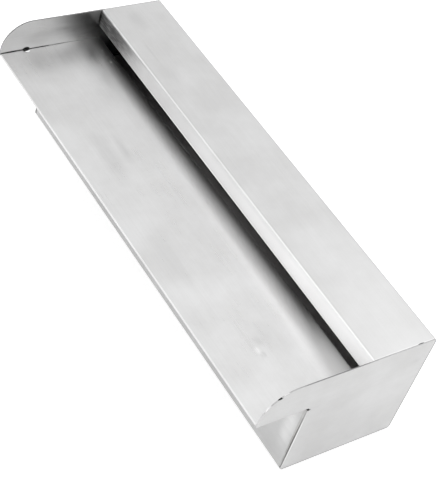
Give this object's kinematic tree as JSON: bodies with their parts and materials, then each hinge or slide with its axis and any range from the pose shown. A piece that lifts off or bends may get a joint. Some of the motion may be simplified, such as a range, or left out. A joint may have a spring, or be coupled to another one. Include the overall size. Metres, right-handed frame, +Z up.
{
  "type": "waterfall spillway",
  "caption": "Stainless sheet-metal spillway: covered rear water chamber, baffle lip and open slide floor with rounded side cheeks over an overhanging spill edge.",
  "frame": {"origin": "bottom centre of the whole object, inlet spigot included", "axes": "+X along the spill edge, -Y towards the spill side, +Z up"},
  "size_m": [0.6, 0.257, 0.158],
  "materials": {
    "sheet_steel": "fine brushed, lightly finger-marked",
    "weld_bead": "cleaned weld bead",
    "pipe_steel": "drawn tube, satin",
    "inner_steel": "plain mill finish"
  },
  "bodies": {
    "root": {"chamber_shell": "sheet_steel", "top_cover": "sheet_steel", "slide_floor": "sheet_steel", "left_end_plate": "sheet_steel", "right_end_plate": "sheet_steel", "left_corner_weld": "weld_bead", "right_corner_weld": "weld_bead", "left_floor_weld": "weld_bead", "right_floor_weld": "weld_bead", "floor_wall_weld": "weld_bead", "rear_seam_weld": "weld_bead", "inlet_spigot": "pipe_steel", "inlet_weld": "weld_bead", "diffuser_plate": "inner_steel", "front_diffuser_ledge": "inner_steel", "rear_diffuser_ledge": "inner_steel", "diffuser_tack_welds": "weld_bead", "left_floor_gusset": "inner_steel", "centre_floor_gusset": "inner_steel", "right_floor_gusset": "inner_steel"}
  },
  "joints": []
}
